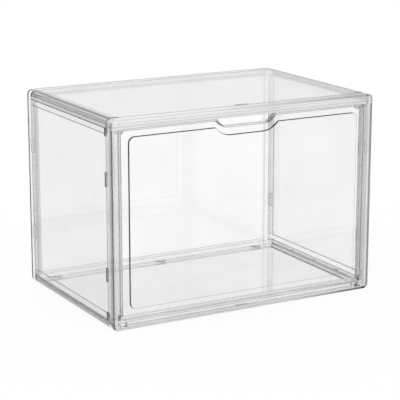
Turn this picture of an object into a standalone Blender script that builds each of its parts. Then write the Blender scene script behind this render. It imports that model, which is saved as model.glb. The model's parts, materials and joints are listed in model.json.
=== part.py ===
"""Clear stackable storage case with a drop-front door.

Seven injection-moulded pieces: a front frame, a door, a top, a bottom, two sides and a back.
Metres, +Z up. The origin is under the middle of the case, on the surface it stands on; the
door faces -Y and the longest side runs along X.
"""
import math

import bmesh
import bpy
from mathutils import Vector

# Overall size of the case
WIDTH = 0.345
DEPTH = 0.228
HEIGHT = 0.240

# Sheet, seams and rounds
WALL = 0.002
SEAM = 0.0003
CASE_CORNER_R = 0.006
FACE_EDGE_R = 0.0003
SHARP_R = 0.0004
INNER_CORNER_R = 0.004
ARC_STEPS = 6
EDGE_STEPS = 3
SHADE_ANGLE = 35.0

# Front frame
FRAME_BAR = 0.011
FRAME_RETURN = 0.012
FRAME_INNER_DEPTH = 0.010
OPENING_CORNER_R = 0.002
OPENING_EDGE_R = 0.0006

# Snap tabs between the frame and the panels behind it
TAB_REACH = 0.004
TAB_THICKNESS = 0.0016
TAB_LENGTH = 0.015
TAB_ROOT = 0.001
TAB_LOWER_HEIGHT = 0.063
TAB_UPPER_DROP = 0.068
TAB_END_LENGTH = 0.0085
TAB_CORNER_OFFSET = 0.0065
TAB_CORNER_LENGTH = 0.009

# Round stop bosses behind the door's upper corners
BOSS_R = 0.004
BOSS_BORE_R = 0.0026
BOSS_SIDE_OFFSET = 0.0152
BOSS_DROP = 0.0145
BOSS_END_DEPTH = 0.0118
BOSS_FLOOR = 0.0012
GUSSET = 0.0014
STOP_GAP = 0.0003

# Bearing blocks behind the frame's lower bar
BLOCK_START = 0.0095
BLOCK_END = 0.0174
BLOCK_FOOT = 0.0027
BLOCK_TOP_MARGIN = 0.0005
BLOCK_ROOT = 0.001
BLOCK_BACK_MARGIN = 0.0006

# Door
DOOR_SIDE_GAP = 0.0004
DOOR_END_GAP = 0.0008
DOOR_SETBACK = 0.002
DOOR_RIM_DEPTH = 0.006
DOOR_RIM = 0.002
DOOR_SHEET = 0.0016
DOOR_CORNER_R = 0.003
DOOR_EDGE_R = 0.0005
DOOR_HEEL_CHAMFER = 0.0017
WINDOW_BORDER = 0.0101
WINDOW_BOTTOM_BORDER = 0.0107
WINDOW_TOP_BORDER = 0.0085
WINDOW_RAISE = 0.0019
WINDOW_DRAFT = 0.0006
WINDOW_CORNER_R = 0.0075

# Finger notch in the door's top edge, and the dip of the window's outline under it
NOTCH_MOUTH = 0.0395
NOTCH_FLOOR = 0.0290
NOTCH_DROP = 0.0098
NOTCH_R = 0.0012
NOTCH_FLOOR_R = 0.0065
DIP_MOUTH = 0.0482
DIP_FLOOR = 0.0270
DIP_DROP = 0.0098
DIP_R = 0.016

# Hinge: stub pins on the door, in holes of the frame's inner walls
PIN_R = 0.002
PIN_CLEARANCE = 0.0003
PIN_TIP_MARGIN = 0.0002
PIN_ROOT = 0.001
PIN_SIDES = 24

# Panels between the frame and the back
RIM = 0.010
LIP_ROOT = 0.007
LIP_LAP = 0.001
FOOT_WIDTH = 0.010
FOOT_DROP = 0.003
FLOOR_SHEET = 0.002
FLANGE_ROOT = 0.001

# Back panel
BACK_RETURN = 0.010
BACK_STEP_INSET = 0.010
BACK_STEP = 0.001

# Clips of the side panels, inside the back's return, and snap bumps on the lower lips
CLIP_REACH = 0.0065
CLIP_LENGTH = 0.016
CLIP_LOWER_HEIGHT = 0.064
CLIP_UPPER_DROP = 0.068
BUMP_LENGTH = 0.005
BUMP_RAISE = 0.001
BUMP_HEIGHT = 0.002
BUMP_ABOVE_FLOOR = 0.0012
BUMP_SPACING = 0.050

# Half-oval lugs of the floor, in the back's bottom return
LUG_WIDTH = 0.014
LUG_REACH = 0.005
LUG_THICKNESS = 0.0014
LUG_SIDE_OFFSET = 0.030
LUG_ROOT = 0.003
LUG_STEPS = 12

# Moulding gate mark under the middle of the floor
GATE_R = 0.003
GATE_RAISE = 0.0003

LEFT = -WIDTH / 2
RIGHT = WIDTH / 2
FRONT = -DEPTH / 2
BACK = DEPTH / 2
PANEL_FRONT = FRONT + FRAME_RETURN + SEAM
PANEL_BACK = BACK - BACK_RETURN - SEAM
SIDE_FOOT = RIM + SEAM
SIDE_TOP = HEIGHT - RIM - SEAM
DOOR_LEFT = LEFT + FRAME_BAR + DOOR_SIDE_GAP
DOOR_FOOT = FRAME_BAR + DOOR_END_GAP
DOOR_TOP = HEIGHT - FRAME_BAR - DOOR_END_GAP
HINGE_DEPTH = DOOR_SETBACK + DOOR_RIM_DEPTH / 2
HINGE_HEIGHT = DOOR_FOOT + DOOR_RIM_DEPTH / 2


def across_front(a, b, level):
    """Point of a front-view outline, at a depth behind the front face."""
    return Vector((a, FRONT + level, b))


def across_floor(a, b, level):
    """Point of a plan-view outline, at a height."""
    return Vector((a, b, level))


def along_width(a, b, level):
    """Point of a side-view section, at a place along X."""
    return Vector((level, a, b))


def rounded_outline(corners, inset=0.0):
    """Closed outline through rounded corners, moved inwards by the inset.

    Each corner is (a, b, radius), and they run anticlockwise. A corner that points outwards
    loses the inset from its radius and a hollow one gains it, so the outlines run parallel.
    """
    points = []
    for index, (a, b, radius) in enumerate(corners):
        here = Vector((a, b))
        before = Vector(corners[index - 1][:2])
        after = Vector(corners[(index + 1) % len(corners)][:2])
        arriving = (here - before).normalized()
        leaving = (after - here).normalized()
        arriving_side = Vector((-arriving.y, arriving.x))
        leaving_side = Vector((-leaving.y, leaving.x))
        turn = math.atan2(arriving.x * leaving.y - arriving.y * leaving.x, arriving.dot(leaving))
        outwards = 1.0 if turn > 0 else -1.0
        corner = here + (arriving_side + leaving_side) * inset / (1.0 + arriving_side.dot(leaving_side))
        arc_radius = max(radius - outwards * inset, SHARP_R)
        start = corner - arriving * arc_radius * math.tan(abs(turn) / 2)
        centre = start + arriving_side * arc_radius * outwards
        for step in range(ARC_STEPS + 1):
            swing = turn * step / ARC_STEPS
            arm = start - centre
            turned = Vector((arm.x * math.cos(swing) - arm.y * math.sin(swing),
                             arm.x * math.sin(swing) + arm.y * math.cos(swing)))
            points.append(tuple(centre + turned))
    return points


def rectangle(left, low, right, high, radius):
    """Corners of a rounded rectangle, anticlockwise."""
    return [(left, low, radius), (right, low, radius), (right, high, radius), (left, high, radius)]


def edge_round(inset, level, radius, turn_in, turn_level):
    """Steps round an edge, as (inset, level) pairs.

    The round starts on the side wall and ends on the face. turn_in is the sign of the inset on
    the way to the face, and turn_level the sign of the level on the way from the wall.
    """
    steps = []
    for step in range(EDGE_STEPS + 1):
        angle = math.pi / 2 * step / EDGE_STEPS
        steps.append((inset + turn_in * radius * (1 - math.cos(angle)),
                      level + turn_level * radius * math.sin(angle)))
    return steps


def skin(name, loops, place, ring=False):
    """Closed body through a stack of outlines with equally many points.

    loops are (outline, level). The ends are capped, or joined to each other for a ring.
    """
    mesh = bmesh.new()
    rows = []
    for outline, level in loops:
        rows.append([mesh.verts.new(place(a, b, level)) for a, b in outline])
    pairs = list(zip(rows, rows[1:]))
    if ring:
        pairs.append((rows[-1], rows[0]))
    else:
        mesh.faces.new(rows[0])
        mesh.faces.new(rows[-1])
    for lower, upper in pairs:
        for index in range(len(lower)):
            following = (index + 1) % len(lower)
            mesh.faces.new((lower[index], lower[following], upper[following], upper[index]))
    return finished(name, mesh)


def prism(name, outline, low, high, place):
    """Straight body on one outline, between two levels."""
    return skin(name, [(outline, low), (outline, high)], place)


def boxes(name, spans):
    """One object with a separate box for each (low corner, high corner)."""
    mesh = bmesh.new()
    for low, high in spans:
        cube = bmesh.ops.create_cube(mesh, size=1.0)
        size = Vector(high) - Vector(low)
        middle = (Vector(high) + Vector(low)) / 2
        bmesh.ops.scale(mesh, vec=size, verts=cube["verts"])
        bmesh.ops.translate(mesh, vec=middle, verts=cube["verts"])
    return finished(name, mesh)


def rods(name, axis, spans):
    """One object with a separate round rod for each (start point, end point, radius)."""
    mesh = bmesh.new()
    turn = Vector((0, 0, 1)).rotation_difference(axis).to_matrix().to_4x4()
    for start, end, radius in spans:
        length = (Vector(end) - Vector(start)).length
        rod = bmesh.ops.create_cone(mesh, cap_ends=True, segments=PIN_SIDES, radius1=radius,
                                    radius2=radius, depth=length, matrix=turn)
        bmesh.ops.translate(mesh, vec=(Vector(start) + Vector(end)) / 2, verts=rod["verts"])
    return finished(name, mesh)


def finished(name, mesh):
    """Object from a bmesh, with its faces pointing out."""
    bmesh.ops.recalc_face_normals(mesh, faces=mesh.faces)
    data = bpy.data.meshes.new(name)
    mesh.to_mesh(data)
    mesh.free()
    piece = bpy.data.objects.new(name, data)
    bpy.context.scene.collection.objects.link(piece)
    return piece


def combine(piece, tool, operation):
    """Boolean of a piece with a tool object, applied at once; the tool is then removed."""
    cut = piece.modifiers.new(tool.name, "BOOLEAN")
    cut.operation = operation
    cut.object = tool
    cut.solver = "EXACT"
    before = piece.data
    piece.data = bpy.data.meshes.new_from_object(piece.evaluated_get(bpy.context.evaluated_depsgraph_get()))
    piece.data.name = piece.name
    piece.modifiers.clear()
    bpy.data.meshes.remove(before)
    bpy.data.objects.remove(tool, do_unlink=True)


def shade(piece):
    """Smooth shading over the rounds, with every corner left sharp."""
    piece.data.shade_smooth()
    piece.data.set_sharp_from_angle(angle=math.radians(SHADE_ANGLE))


def clear_plastic(piece, tint):
    """Own material of a piece: clear, glossy moulded plastic."""
    material = bpy.data.materials.new(piece.name + "_plastic")
    material.use_nodes = True
    shader = material.node_tree.nodes["Principled BSDF"]
    shader.inputs["Base Color"].default_value = (tint, tint, tint * 0.995, 1.0)
    shader.inputs["Metallic"].default_value = 0.0
    shader.inputs["Roughness"].default_value = 0.05
    shader.inputs["IOR"].default_value = 1.52
    shader.inputs["Transmission Weight"].default_value = 1.0
    piece.data.materials.append(material)


def move_origin(piece, origin):
    """Put an object's origin at a point, with its shape staying where it is."""
    for vertex in piece.data.vertices:
        vertex.co -= Vector(origin)
    piece.location = origin


CASE = rectangle(LEFT, 0, RIGHT, HEIGHT, CASE_CORNER_R)
OPENING = rectangle(LEFT + FRAME_BAR, FRAME_BAR, RIGHT - FRAME_BAR, HEIGHT - FRAME_BAR, OPENING_CORNER_R)


def tab_heights():
    """Low and high ends of the frame's side tabs, from the bottom up."""
    half = TAB_LENGTH / 2
    return [(SIDE_FOOT + SEAM, SIDE_FOOT + SEAM + TAB_END_LENGTH),
            (TAB_LOWER_HEIGHT - half, TAB_LOWER_HEIGHT + half),
            (HEIGHT - TAB_UPPER_DROP - half, HEIGHT - TAB_UPPER_DROP + half),
            (SIDE_TOP - SEAM - TAB_END_LENGTH, SIDE_TOP - SEAM)]


def tab_places():
    """Left and right ends of the frame's top and bottom tabs."""
    corner_end = TAB_CORNER_OFFSET + TAB_CORNER_LENGTH
    return [(LEFT + TAB_CORNER_OFFSET, LEFT + corner_end),
            (-TAB_LENGTH / 2, TAB_LENGTH / 2),
            (RIGHT - corner_end, RIGHT - TAB_CORNER_OFFSET)]


def frame_tabs():
    """Snap tabs that stand back from the frame's return, at its middle thickness."""
    start = FRONT + FRAME_RETURN - TAB_ROOT
    end = FRONT + FRAME_RETURN + TAB_REACH
    skin_depth = (WALL - TAB_THICKNESS) / 2
    spans = []
    for low, high in tab_heights():
        spans.append(((LEFT + skin_depth, start, low), (LEFT + skin_depth + TAB_THICKNESS, end, high)))
        spans.append(((RIGHT - skin_depth - TAB_THICKNESS, start, low), (RIGHT - skin_depth, end, high)))
    for left, right in tab_places():
        spans.append(((left, start, HEIGHT - skin_depth - TAB_THICKNESS), (right, end, HEIGHT - skin_depth)))
        spans.append(((left, start, skin_depth), (right, end, skin_depth + TAB_THICKNESS)))
    return boxes("frame_tab_guide", spans)


def tab_slots(name, sides):
    """Slots for the frame's tabs in the panels' front edges, with the seam's clearance."""
    start = PANEL_FRONT - WALL
    end = FRONT + FRAME_RETURN + TAB_REACH + SEAM
    deep = WALL + SEAM
    spans = []
    if "side" in sides:
        for low, high in tab_heights():
            foot = low - SEAM if low > RIM + TAB_LENGTH else SIDE_FOOT - WALL
            head = high + SEAM if high < HEIGHT - RIM - TAB_LENGTH else SIDE_TOP + WALL
            spans.append(((LEFT - WALL, start, foot), (LEFT + deep, end, head)))
            spans.append(((RIGHT - deep, start, foot), (RIGHT + WALL, end, head)))
    for left, right in tab_places():
        if "top" in sides:
            spans.append(((left - SEAM, start, HEIGHT - deep), (right + SEAM, end, HEIGHT + WALL)))
        if "bottom" in sides:
            spans.append(((left - SEAM, start, -WALL), (right + SEAM, end, deep)))
    return boxes(name, spans)


def build_front_frame():
    """Ring round the door: outer return, rounded face bar and inner wall, 2 mm thick throughout."""
    section = [("case", 0.0, FRAME_RETURN)]
    section += [("case", inset, level)
                for inset, level in edge_round(0.0, FACE_EDGE_R, FACE_EDGE_R, 1, -1)]
    section += [("opening", -inset, level)
                for inset, level in reversed(edge_round(0.0, OPENING_EDGE_R, OPENING_EDGE_R, 1, -1))]
    section += [("opening", 0.0, FRAME_INNER_DEPTH), ("opening", -WALL, FRAME_INNER_DEPTH),
                ("opening", -WALL, WALL), ("case", WALL, WALL), ("case", WALL, FRAME_RETURN)]
    families = {"case": CASE, "opening": OPENING}
    loops = [(rounded_outline(families[family], inset), level) for family, inset, level in section]
    frame = skin("front_frame", loops, across_front, ring=True)

    boss_height = HEIGHT - BOSS_DROP
    stop_depth = DOOR_SETBACK + DOOR_RIM_DEPTH + STOP_GAP
    gussets = []
    blocks = []
    bosses = []
    bores = []
    pin_holes = []
    for side in (-1, 1):
        wall_x = side * (RIGHT - FRAME_BAR + WALL / 2)
        boss_x = side * (RIGHT - BOSS_SIDE_OFFSET)
        gussets.append(((min(wall_x, boss_x), FRONT + stop_depth + SHARP_R, boss_height - BOSS_R / 2),
                        (max(wall_x, boss_x), FRONT + stop_depth + SHARP_R + GUSSET,
                         HEIGHT - FRAME_BAR + WALL / 2)))
        ends = sorted((side * (RIGHT - BLOCK_START), side * (RIGHT - BLOCK_END)))
        blocks.append(((ends[0], FRONT + BLOCK_ROOT, BLOCK_FOOT),
                       (ends[1], FRONT + FRAME_INNER_DEPTH - BLOCK_BACK_MARGIN,
                        FRAME_BAR - BLOCK_TOP_MARGIN)))
        bosses.append(((boss_x, FRONT + stop_depth, boss_height),
                       (boss_x, FRONT + BOSS_END_DEPTH, boss_height), BOSS_R))
        bores.append(((boss_x, FRONT + stop_depth + BOSS_FLOOR, boss_height),
                      (boss_x, FRONT + BOSS_END_DEPTH + WALL, boss_height), BOSS_BORE_R))
        pin_holes.append(((side * (RIGHT - FRAME_BAR + 2 * WALL), FRONT + HINGE_DEPTH, HINGE_HEIGHT),
                          (side * (RIGHT - FRAME_BAR - WALL), FRONT + HINGE_DEPTH, HINGE_HEIGHT),
                          PIN_R + PIN_CLEARANCE))
    combine(frame, frame_tabs(), "UNION")
    combine(frame, boxes("frame_gusset_guide", gussets + blocks), "UNION")
    combine(frame, rods("frame_boss_guide", Vector((0, 1, 0)), bosses), "UNION")
    combine(frame, rods("frame_boss_bore_guide", Vector((0, 1, 0)), bores), "DIFFERENCE")
    combine(frame, rods("frame_pin_hole_guide", Vector((1, 0, 0)), pin_holes), "DIFFERENCE")
    return frame


def door_corners():
    """Outline of the door, with the finger notch in its top edge."""
    right = -DOOR_LEFT
    return [(DOOR_LEFT, DOOR_FOOT, DOOR_CORNER_R), (right, DOOR_FOOT, DOOR_CORNER_R),
            (right, DOOR_TOP, DOOR_CORNER_R), (NOTCH_MOUTH, DOOR_TOP, NOTCH_R),
            (NOTCH_FLOOR, DOOR_TOP - NOTCH_DROP, NOTCH_FLOOR_R),
            (-NOTCH_FLOOR, DOOR_TOP - NOTCH_DROP, NOTCH_FLOOR_R),
            (-NOTCH_MOUTH, DOOR_TOP, NOTCH_R), (DOOR_LEFT, DOOR_TOP, DOOR_CORNER_R)]


def window_corners():
    """Outline of the door's raised window, which dips under the notch."""
    left = DOOR_LEFT + WINDOW_BORDER
    foot = DOOR_FOOT + WINDOW_BOTTOM_BORDER
    top = DOOR_TOP - WINDOW_TOP_BORDER
    return [(left, foot, WINDOW_CORNER_R), (-left, foot, WINDOW_CORNER_R),
            (-left, top, WINDOW_CORNER_R), (DIP_MOUTH, top, DIP_R), (DIP_FLOOR, top - DIP_DROP, DIP_R),
            (-DIP_FLOOR, top - DIP_DROP, DIP_R), (-DIP_MOUTH, top, DIP_R), (left, top, WINDOW_CORNER_R)]


def build_door():
    """Tray-shaped door with a rim, a raised window with drafted walls, and two stub pins.

    Its lower front edge is chamfered, so that it clears the frame as the door turns.
    """
    outer = door_corners()
    window = window_corners()
    rim_back = DOOR_SETBACK + DOOR_RIM_DEPTH
    sheet_back = DOOR_SETBACK + DOOR_SHEET
    section = [(outer, DOOR_RIM, sheet_back), (outer, DOOR_RIM, rim_back), (outer, 0.0, rim_back)]
    section += [(outer, inset, level)
                for inset, level in edge_round(0.0, DOOR_SETBACK + DOOR_EDGE_R, DOOR_EDGE_R, 1, -1)]
    section += [(window, 0.0, DOOR_SETBACK), (window, WINDOW_DRAFT, DOOR_SETBACK - WINDOW_RAISE)]
    loops = [(rounded_outline(corners, inset), level) for corners, inset, level in section]
    door = skin("door", loops, across_front)

    pins = []
    for side in (-1, 1):
        tip = side * (RIGHT - FRAME_BAR + WALL - PIN_TIP_MARGIN)
        root = side * (-DOOR_LEFT - PIN_ROOT)
        pins.append(((tip, FRONT + HINGE_DEPTH, HINGE_HEIGHT),
                     (root, FRONT + HINGE_DEPTH, HINGE_HEIGHT), PIN_R))
    combine(door, rods("door_pin_guide", Vector((1, 0, 0)), pins), "UNION")

    face = FRONT + DOOR_SETBACK
    heel = [(face - WALL, DOOR_FOOT - WALL), (face + DOOR_HEEL_CHAMFER + WALL, DOOR_FOOT - WALL),
            (face - WALL, DOOR_FOOT + DOOR_HEEL_CHAMFER + WALL)]
    combine(door, prism("door_heel_guide", heel, LEFT, RIGHT, along_width), "DIFFERENCE")
    move_origin(door, (0, FRONT + HINGE_DEPTH, HINGE_HEIGHT))
    return door


def skirted_section(rim_end):
    """Front view of the plate with rounded long edges and skirts: outer line, then inner line."""
    outer = rounded_outline(CASE)
    inner = rounded_outline(CASE, WALL)
    quarter = ARC_STEPS + 1
    line = [(RIGHT, rim_end)] + outer[2 * quarter:4 * quarter] + [(LEFT, rim_end), (LEFT + WALL, rim_end)]
    line += list(reversed(inner[2 * quarter:4 * quarter])) + [(RIGHT - WALL, rim_end)]
    return line


def flange_outline(rim_end):
    """Front view of the flange that closes a plate's front or back end, inside its rounds."""
    middle = rounded_outline(CASE, FLANGE_ROOT)
    quarter = ARC_STEPS + 1
    line = [(RIGHT - FLANGE_ROOT, rim_end)] + middle[2 * quarter:4 * quarter]
    return line + [(LEFT + FLANGE_ROOT, rim_end)]


def turned_over(outline):
    """The same front view, upside down."""
    return [(a, HEIGHT - b) for a, b in outline]


def end_flanges(name, outline):
    """Front and rear flanges as one tool object, a wall thick."""
    front = prism(name + "_front", outline, FRAME_RETURN + SEAM, FRAME_RETURN + SEAM + WALL, across_front)
    rear_start = DEPTH - BACK_RETURN - SEAM - WALL
    rear = prism(name + "_rear", outline, rear_start, rear_start + WALL, across_front)
    return front, rear


def build_top_panel():
    """Lid plate with rounded long edges, side skirts and end flanges."""
    rim_end = HEIGHT - RIM
    top = prism("top_panel", skirted_section(rim_end), FRAME_RETURN + SEAM, DEPTH - BACK_RETURN - SEAM,
                across_front)
    for flange in end_flanges("top_flange_guide", flange_outline(rim_end)):
        combine(top, flange, "UNION")
    combine(top, tab_slots("top_slot_guide", ("top",)), "DIFFERENCE")
    return top


def half_oval(width, reach, root):
    """Plan view of a lug: straight sides on its root, then half an oval."""
    points = [(width / 2, -root)]
    for step in range(LUG_STEPS + 1):
        angle = math.pi * step / LUG_STEPS
        points.append((width / 2 * math.cos(angle), reach * math.sin(angle)))
    points.append((-width / 2, -root))
    return points


def lug_bodies(name, clearance, low, high):
    """The three lugs, or with a clearance the notches that they lie in."""
    bodies = []
    outline = half_oval(LUG_WIDTH + 2 * clearance, LUG_REACH + clearance, LUG_ROOT)
    for index, middle in enumerate((LEFT + LUG_SIDE_OFFSET, 0.0, RIGHT - LUG_SIDE_OFFSET)):
        placed = [(middle + a, PANEL_BACK + b) for a, b in outline]
        bodies.append(prism(f"{name}_{index + 1}", placed, low, high, across_floor))
    return bodies


def build_bottom_panel():
    """Floor plate over a foot rim, with side skirts, end flanges, lugs and a gate mark."""
    outer = rounded_outline(CASE)
    inner = rounded_outline(CASE, WALL)
    quarter = ARC_STEPS + 1
    floor_top = FOOT_DROP + FLOOR_SHEET
    foot_in = FOOT_WIDTH - WALL
    line = [(LEFT, RIM)] + outer[:quarter]
    line += [(LEFT + FOOT_WIDTH, 0), (LEFT + FOOT_WIDTH, FOOT_DROP), (RIGHT - FOOT_WIDTH, FOOT_DROP),
             (RIGHT - FOOT_WIDTH, 0)]
    line += outer[quarter:2 * quarter] + [(RIGHT, RIM), (RIGHT - WALL, RIM)]
    line += list(reversed(inner[quarter:2 * quarter]))
    line += [(RIGHT - foot_in, WALL), (RIGHT - foot_in, floor_top), (LEFT + foot_in, floor_top),
             (LEFT + foot_in, WALL)]
    line += list(reversed(inner[:quarter])) + [(LEFT + WALL, RIM)]
    bottom = prism("bottom_panel", line, FRAME_RETURN + SEAM, DEPTH - BACK_RETURN - SEAM, across_front)
    for flange in end_flanges("bottom_flange_guide", turned_over(flange_outline(HEIGHT - RIM))):
        combine(bottom, flange, "UNION")
    bar_left = LEFT + FOOT_WIDTH - WALL / 2
    bar_top = FOOT_DROP + FLOOR_SHEET / 2
    foot_bars = [((bar_left, PANEL_FRONT, 0), (-bar_left, PANEL_FRONT + FOOT_WIDTH, bar_top)),
                 ((bar_left, PANEL_BACK - FOOT_WIDTH, 0), (-bar_left, PANEL_BACK, bar_top))]
    combine(bottom, boxes("bottom_foot_guide", foot_bars), "UNION")
    lug_low = (WALL - LUG_THICKNESS) / 2
    for lug in lug_bodies("bottom_lug_guide", 0.0, lug_low, lug_low + LUG_THICKNESS):
        combine(bottom, lug, "UNION")
    gate = ((0, 0, FOOT_DROP - GATE_RAISE), (0, 0, FOOT_DROP + FLOOR_SHEET / 2), GATE_R)
    combine(bottom, rods("bottom_gate_guide", Vector((0, 0, 1)), [gate]), "UNION")
    combine(bottom, tab_slots("bottom_slot_guide", ("bottom",)), "DIFFERENCE")
    return bottom


def build_side_panel(name, side):
    """Side plate with front and rear flanges, lips behind the skirts, clips and snap bumps.

    side is -1 for the left panel and 1 for the right one. Distances run inwards from the outer face.
    """
    def inwards(distance):
        return side * (RIGHT - distance)

    def span(near, far, front, rear, low, high):
        ends = sorted((inwards(near), inwards(far)))
        return ((ends[0], front, low), (ends[1], rear, high))

    plan = [(0, PANEL_FRONT), (RIM, PANEL_FRONT), (RIM, PANEL_FRONT + WALL), (WALL, PANEL_FRONT + WALL),
            (WALL, PANEL_BACK - WALL), (RIM, PANEL_BACK - WALL), (RIM, PANEL_BACK), (0, PANEL_BACK)]
    panel = prism(name, [(inwards(a), b) for a, b in plan], SIDE_FOOT, SIDE_TOP, across_floor)

    lip_near = WALL + SEAM
    lip_far = WALL + SEAM + WALL
    lip_front = PANEL_FRONT + WALL + SEAM
    lip_rear = PANEL_BACK - WALL - SEAM
    upper = [(WALL - LIP_LAP, SIDE_TOP - LIP_ROOT), (lip_far, SIDE_TOP - LIP_ROOT),
             (lip_far, HEIGHT - CASE_CORNER_R), (lip_near, HEIGHT - CASE_CORNER_R),
             (lip_near, SIDE_TOP - LIP_LAP), (WALL - LIP_LAP, SIDE_TOP - LIP_LAP)]
    upper_line = [(inwards(a), b) for a, b in upper]
    lip_start = lip_front - FRONT
    lip_end = lip_rear - FRONT
    combine(panel, prism(name + "_upper_lip_guide", upper_line, lip_start, lip_end, across_front), "UNION")
    combine(panel, prism(name + "_lower_lip_guide", turned_over(upper_line), lip_start, lip_end,
                         across_front), "UNION")

    extras = []
    for height in (CLIP_LOWER_HEIGHT, HEIGHT - CLIP_UPPER_DROP):
        extras.append(span(lip_near, lip_far, PANEL_BACK - WALL / 2, PANEL_BACK + CLIP_REACH,
                           height - CLIP_LENGTH / 2, height + CLIP_LENGTH / 2))
    bump_low = FOOT_DROP + FLOOR_SHEET + BUMP_ABOVE_FLOOR
    for place in (-BUMP_SPACING, 0.0, BUMP_SPACING):
        extras.append(span(lip_far - LIP_LAP, lip_far + BUMP_RAISE, place - BUMP_LENGTH / 2,
                           place + BUMP_LENGTH / 2, bump_low, bump_low + BUMP_HEIGHT))
    combine(panel, boxes(name + "_clip_guide", extras), "UNION")
    combine(panel, tab_slots(name + "_slot_guide", ("side",)), "DIFFERENCE")
    return panel


def build_back_panel():
    """Rear tray: a return all round, and a plate whose middle is set in by a small step."""
    outer_step = rectangle(LEFT + BACK_STEP_INSET, BACK_STEP_INSET, RIGHT - BACK_STEP_INSET,
                           HEIGHT - BACK_STEP_INSET, INNER_CORNER_R)
    start = DEPTH - BACK_RETURN
    section = [(outer_step, -WALL, DEPTH - WALL - BACK_STEP), (outer_step, -WALL, DEPTH - WALL),
               (CASE, WALL, DEPTH - WALL), (CASE, WALL, start), (CASE, 0.0, start)]
    section += [(CASE, inset, level)
                for inset, level in edge_round(0.0, DEPTH - FACE_EDGE_R, FACE_EDGE_R, 1, 1)]
    section += [(outer_step, 0.0, DEPTH), (outer_step, 0.0, DEPTH - BACK_STEP)]
    loops = [(rounded_outline(corners, inset), level) for corners, inset, level in section]
    back = skin("back_panel", loops, across_front)
    for notch in lug_bodies("back_notch_guide", SEAM, -WALL, WALL + SEAM):
        combine(back, notch, "DIFFERENCE")
    return back


def build_case():
    """All seven pieces, each with its own material."""
    pieces = [build_front_frame(), build_door(), build_top_panel(), build_bottom_panel(),
              build_side_panel("left_side_panel", -1), build_side_panel("right_side_panel", 1),
              build_back_panel()]
    tints = (0.93, 0.95, 0.92, 0.91, 0.93, 0.93, 0.94)
    for piece, tint in zip(pieces, tints):
        shade(piece)
        clear_plastic(piece, tint)


for leftover in list(bpy.data.objects):
    bpy.data.objects.remove(leftover, do_unlink=True)
build_case()
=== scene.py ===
# %% [markdown]
# A clear stackable storage case
#
# The object is a case of clear, injection-moulded plastic: a front frame with a drop-front
# door, a top, a bottom, two sides and a back. Clear plastic has almost no colour of its own.
# What the eye reads is its edges, rounds and seams, so most of this lesson is about them.
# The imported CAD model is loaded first, because every piece below starts from one of its nodes.

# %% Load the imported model
import itertools
import json
import math

import bmesh
import bpy
from mathutils import Matrix, Vector
from mathutils.geometry import intersect_point_line


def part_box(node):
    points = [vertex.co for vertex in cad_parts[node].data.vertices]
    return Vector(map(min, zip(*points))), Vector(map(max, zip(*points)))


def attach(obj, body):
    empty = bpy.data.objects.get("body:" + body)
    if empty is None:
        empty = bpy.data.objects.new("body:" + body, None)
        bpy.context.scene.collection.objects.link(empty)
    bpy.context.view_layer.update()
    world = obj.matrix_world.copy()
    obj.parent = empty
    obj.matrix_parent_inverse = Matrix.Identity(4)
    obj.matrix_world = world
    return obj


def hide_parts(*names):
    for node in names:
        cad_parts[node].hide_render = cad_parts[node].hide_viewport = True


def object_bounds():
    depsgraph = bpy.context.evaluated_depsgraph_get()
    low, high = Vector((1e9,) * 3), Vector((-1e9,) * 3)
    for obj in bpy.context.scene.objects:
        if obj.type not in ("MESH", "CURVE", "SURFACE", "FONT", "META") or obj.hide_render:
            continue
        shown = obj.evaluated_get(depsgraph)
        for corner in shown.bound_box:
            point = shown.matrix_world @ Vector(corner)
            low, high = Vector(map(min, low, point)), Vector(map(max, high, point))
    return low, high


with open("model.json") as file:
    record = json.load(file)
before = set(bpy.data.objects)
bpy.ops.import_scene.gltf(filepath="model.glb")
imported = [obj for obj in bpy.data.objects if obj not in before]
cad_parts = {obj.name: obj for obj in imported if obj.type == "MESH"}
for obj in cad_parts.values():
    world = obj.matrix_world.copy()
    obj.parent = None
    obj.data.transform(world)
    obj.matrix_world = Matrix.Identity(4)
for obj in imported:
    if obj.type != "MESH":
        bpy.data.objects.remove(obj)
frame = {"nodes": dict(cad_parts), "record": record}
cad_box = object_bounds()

print("pieces:", ", ".join(sorted(frame["nodes"])))

# %% [markdown]
# The camera
#
# A product photograph is taken from a few paces with a long lens, so that upright edges stay
# nearly parallel. The place, the turn and the focal length below put the eight corners of
# the case where the photograph has them. There is no lens shift and no blur.

# %% Camera
MM = 0.001
PHOTO_PIXELS = 400
SENSOR_WIDTH = 36.0
FOCAL_PIXELS = 1540.5
CAMERA_PLACE = Vector((-0.8881, -1.5838, 0.5561))
CAMERA_YAW = math.radians(29.340)
CAMERA_PITCH = math.radians(13.908)


def add_camera():
    """Camera at the photograph's place, looking along its yaw and pitch."""
    data = bpy.data.cameras.new("camera")
    data.sensor_width = SENSOR_WIDTH
    data.lens = SENSOR_WIDTH * FOCAL_PIXELS / PHOTO_PIXELS
    camera = bpy.data.objects.new("camera", data)
    bpy.context.scene.collection.objects.link(camera)
    ahead = Vector((math.sin(CAMERA_YAW) * math.cos(CAMERA_PITCH),
                    math.cos(CAMERA_YAW) * math.cos(CAMERA_PITCH), -math.sin(CAMERA_PITCH)))
    camera.location = CAMERA_PLACE
    camera.rotation_euler = ahead.to_track_quat("-Z", "Y").to_euler()
    bpy.context.scene.camera = camera
    print(f"camera: {data.lens:.1f} mm lens, {CAMERA_PLACE.length:.2f} m from the case")


add_camera()

# %% [markdown]
# Materials made of nodes
#
# Each finish is a small network of nodes. One function adds a node with its settings, values
# and links, and one turns the sRGB colours that a screen shows into the linear ones that the
# renderer needs. Materials and the world all start from an empty network.

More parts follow.
